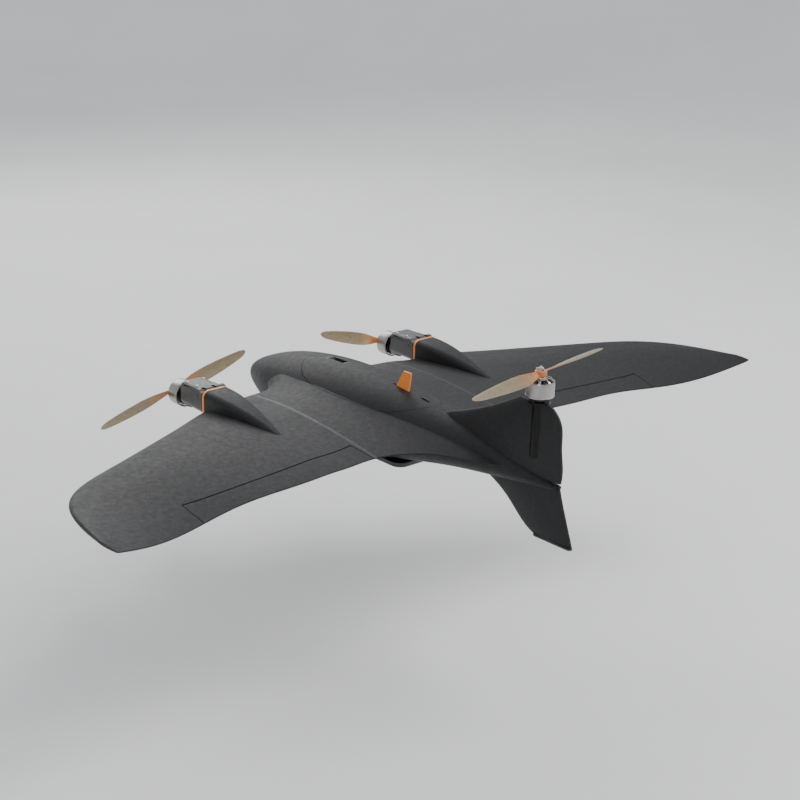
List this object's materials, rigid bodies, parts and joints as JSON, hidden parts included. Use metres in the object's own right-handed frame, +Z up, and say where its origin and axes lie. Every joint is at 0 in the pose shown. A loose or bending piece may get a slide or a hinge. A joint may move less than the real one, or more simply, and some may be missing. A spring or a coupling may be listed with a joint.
{
  "type": "tilt-rotor flying wing model",
  "caption": "Foam radio-controlled tilt-rotor flying wing with tilting front motor nacelles, a motor on the tail fin, two elevons and a lift-off hatch.",
  "frame": {"origin": "on the flat underside of the belly skid, in the plane of symmetry, under the middle of the equipment bay", "axes": "+Z up, nose towards -Y, port wing towards +X"},
  "size_m": [0.996, 0.589, 0.202],
  "materials": {
    "foam_black": "matte moulded bead foam with a fine pebbled grain",
    "carbon": "glossy pulled carbon tube",
    "grey_plastic": "satin moulded nylon, faint flow marks",
    "orange_plastic": "satin orange moulding",
    "black_plastic": "fine spark-eroded texture",
    "servo_case": "smoky dark moulding",
    "servo_arm": "plain white nylon",
    "steel": "drawn wire, light scuffing",
    "magnet": "nickel plate",
    "motor_silver": "turned and anodised",
    "motor_black": "black anodised base with copper windings",
    "prop_amber": "smoky amber translucent moulding",
    "battery_wrap": "shrink wrap, light creases",
    "strap": "woven nylon webbing",
    "circuit": "solder mask",
    "skid_plastic": "scuffed tough moulding"
  },
  "bodies": {
    "airframe": {"centre_body": "foam_black", "belly_skid": "skid_plastic", "wing_port": "foam_black", "wing_starboard": "foam_black", "main_spar": "carbon", "rear_spar": "carbon", "root_ribs": "black_plastic", "pod_fairing_port": "foam_black", "pod_fairing_starboard": "foam_black", "trim_rings": "orange_plastic", "tilt_brackets": "black_plastic", "tilt_servos": "servo_case", "dorsal_fin": "foam_black", "ventral_fin": "foam_black", "tail_skid": "skid_plastic", "motor_post": "carbon", "rear_motor_base": "motor_black", "battery_tray": "black_plastic", "battery": "battery_wrap", "battery_strap": "strap", "flight_controller": "black_plastic", "speed_controllers": "circuit", "power_module": "circuit", "gps_module": "black_plastic", "elevon_servos": "servo_case", "elevon_hinge_clips": "black_plastic", "body_magnets": "magnet"},
    "hatch": {"hatch": "foam_black", "pull_tab": "orange_plastic", "air_scoop": "black_plastic", "hatch_magnets": "magnet"},
    "nacelle_port": {"nacelle_port": "grey_plastic", "tilt_shaft_port": "steel", "front_motor_base_port": "motor_black"},
    "front_rotor_port": {"front_bell_port": "motor_silver", "front_prop_port": "prop_amber", "front_prop_nut_port": "steel"},
    "tilt_arm_port": {"tilt_arm_port": "servo_arm"},
    "tilt_rod_port": {"tilt_rod_port": "steel"},
    "elevon_port": {"elevon_port": "foam_black", "elevon_hinge_rod_port": "carbon", "elevon_horn_port": "black_plastic"},
    "elevon_arm_port": {"elevon_arm_port": "servo_arm"},
    "elevon_rod_port": {"elevon_rod_port": "steel"},
    "nacelle_starboard": {"nacelle_starboard": "grey_plastic", "tilt_shaft_starboard": "steel", "front_motor_base_starboard": "motor_black"},
    "front_rotor_starboard": {"front_bell_starboard": "motor_silver", "front_prop_starboard": "prop_amber", "front_prop_nut_starboard": "steel"},
    "tilt_arm_starboard": {"tilt_arm_starboard": "servo_arm"},
    "tilt_rod_starboard": {"tilt_rod_starboard": "steel"},
    "elevon_starboard": {"elevon_starboard": "foam_black", "elevon_hinge_rod_starboard": "carbon", "elevon_horn_starboard": "black_plastic"},
    "elevon_arm_starboard": {"elevon_arm_starboard": "servo_arm"},
    "elevon_rod_starboard": {"elevon_rod_starboard": "steel"},
    "rear_rotor": {"rear_bell": "motor_silver", "rear_prop": "prop_amber", "rear_prop_screws": "steel"}
  },
  "joints": [
    {"name": "hatch_lift", "type": "slide", "parent": "airframe", "child": "hatch", "axis": [0, 0, 1], "range_m": [0, 0.08]},
    {"name": "tilt_port", "type": "hinge", "parent": "airframe", "child": "nacelle_port", "pos_m": [0.172, -0.139, 0.0775], "axis": [-1, 0, 0], "range_deg": [0, 95]},
    {"name": "tilt_arm_port", "type": "hinge", "parent": "airframe", "child": "tilt_arm_port", "pos_m": [0.1595, -0.105, 0.0685], "axis": [-1, 0, 0], "range_deg": [0, 95]},
    {"name": "tilt_rod_port", "type": "hinge", "parent": "tilt_arm_port", "child": "tilt_rod_port", "pos_m": [0.1595, -0.09581, 0.05931], "axis": [-1, 0, 0], "range_deg": [-95, 0]},
    {"name": "front_spin_port", "type": "hinge", "parent": "nacelle_port", "child": "front_rotor_port", "pos_m": [0.172, -0.2, 0.061], "axis": [0, 1, 0], "continuous": true},
    {"name": "elevon_port", "type": "hinge", "parent": "airframe", "child": "elevon_port", "pos_m": [0.118, 0.0665, 0.05225], "axis": [0.9976, 0.0672, -0.0178], "range_deg": [-25, 25]},
    {"name": "elevon_arm_port", "type": "hinge", "parent": "airframe", "child": "elevon_arm_port", "pos_m": [0.22992, 0.01591, 0.05182], "axis": [0.9976, 0.0672, -0.0178], "range_deg": [-25, 25]},
    {"name": "elevon_rod_port", "type": "hinge", "parent": "elevon_arm_port", "child": "elevon_rod_port", "pos_m": [0.22966, 0.01589, 0.03682], "axis": [0.9976, 0.0672, -0.0178], "range_deg": [-25, 25]},
    {"name": "tilt_starboard", "type": "hinge", "parent": "airframe", "child": "nacelle_starboard", "pos_m": [-0.172, -0.139, 0.0775], "axis": [-1, 0, 0], "range_deg": [0, 95]},
    {"name": "tilt_arm_starboard", "type": "hinge", "parent": "airframe", "child": "tilt_arm_starboard", "pos_m": [-0.1595, -0.105, 0.0685], "axis": [-1, 0, 0], "range_deg": [0, 95]},
    {"name": "tilt_rod_starboard", "type": "hinge", "parent": "tilt_arm_starboard", "child": "tilt_rod_starboard", "pos_m": [-0.1595, -0.09581, 0.05931], "axis": [-1, 0, 0], "range_deg": [-95, 0]},
    {"name": "front_spin_starboard", "type": "hinge", "parent": "nacelle_starboard", "child": "front_rotor_starboard", "pos_m": [-0.172, -0.2, 0.061], "axis": [0, 1, 0], "continuous": true},
    {"name": "elevon_starboard", "type": "hinge", "parent": "airframe", "child": "elevon_starboard", "pos_m": [-0.118, 0.0665, 0.05225], "axis": [0.9976, -0.0672, 0.0178], "range_deg": [-25, 25]},
    {"name": "elevon_arm_starboard", "type": "hinge", "parent": "airframe", "child": "elevon_arm_starboard", "pos_m": [-0.22992, 0.01591, 0.05182], "axis": [0.9976, -0.0672, 0.0178], "range_deg": [-25, 25]},
    {"name": "elevon_rod_starboard", "type": "hinge", "parent": "elevon_arm_starboard", "child": "elevon_rod_starboard", "pos_m": [-0.22966, 0.01589, 0.03682], "axis": [0.9976, -0.0672, 0.0178], "range_deg": [-25, 25]},
    {"name": "rear_spin", "type": "hinge", "parent": "airframe", "child": "rear_rotor", "pos_m": [0, 0.248, 0.16], "axis": [0, 0, 1], "continuous": true}
  ],
  "couplings": [
    {"joint": "tilt_arm_port", "follows": "tilt_port", "ratio": 1},
    {"joint": "tilt_rod_port", "follows": "tilt_port", "ratio": -1},
    {"joint": "elevon_arm_port", "follows": "elevon_port", "ratio": 1},
    {"joint": "elevon_rod_port", "follows": "elevon_port", "ratio": -1},
    {"joint": "tilt_arm_starboard", "follows": "tilt_starboard", "ratio": 1},
    {"joint": "tilt_rod_starboard", "follows": "tilt_starboard", "ratio": -1},
    {"joint": "elevon_arm_starboard", "follows": "elevon_starboard", "ratio": 1},
    {"joint": "elevon_rod_starboard", "follows": "elevon_starboard", "ratio": -1}
  ]
}
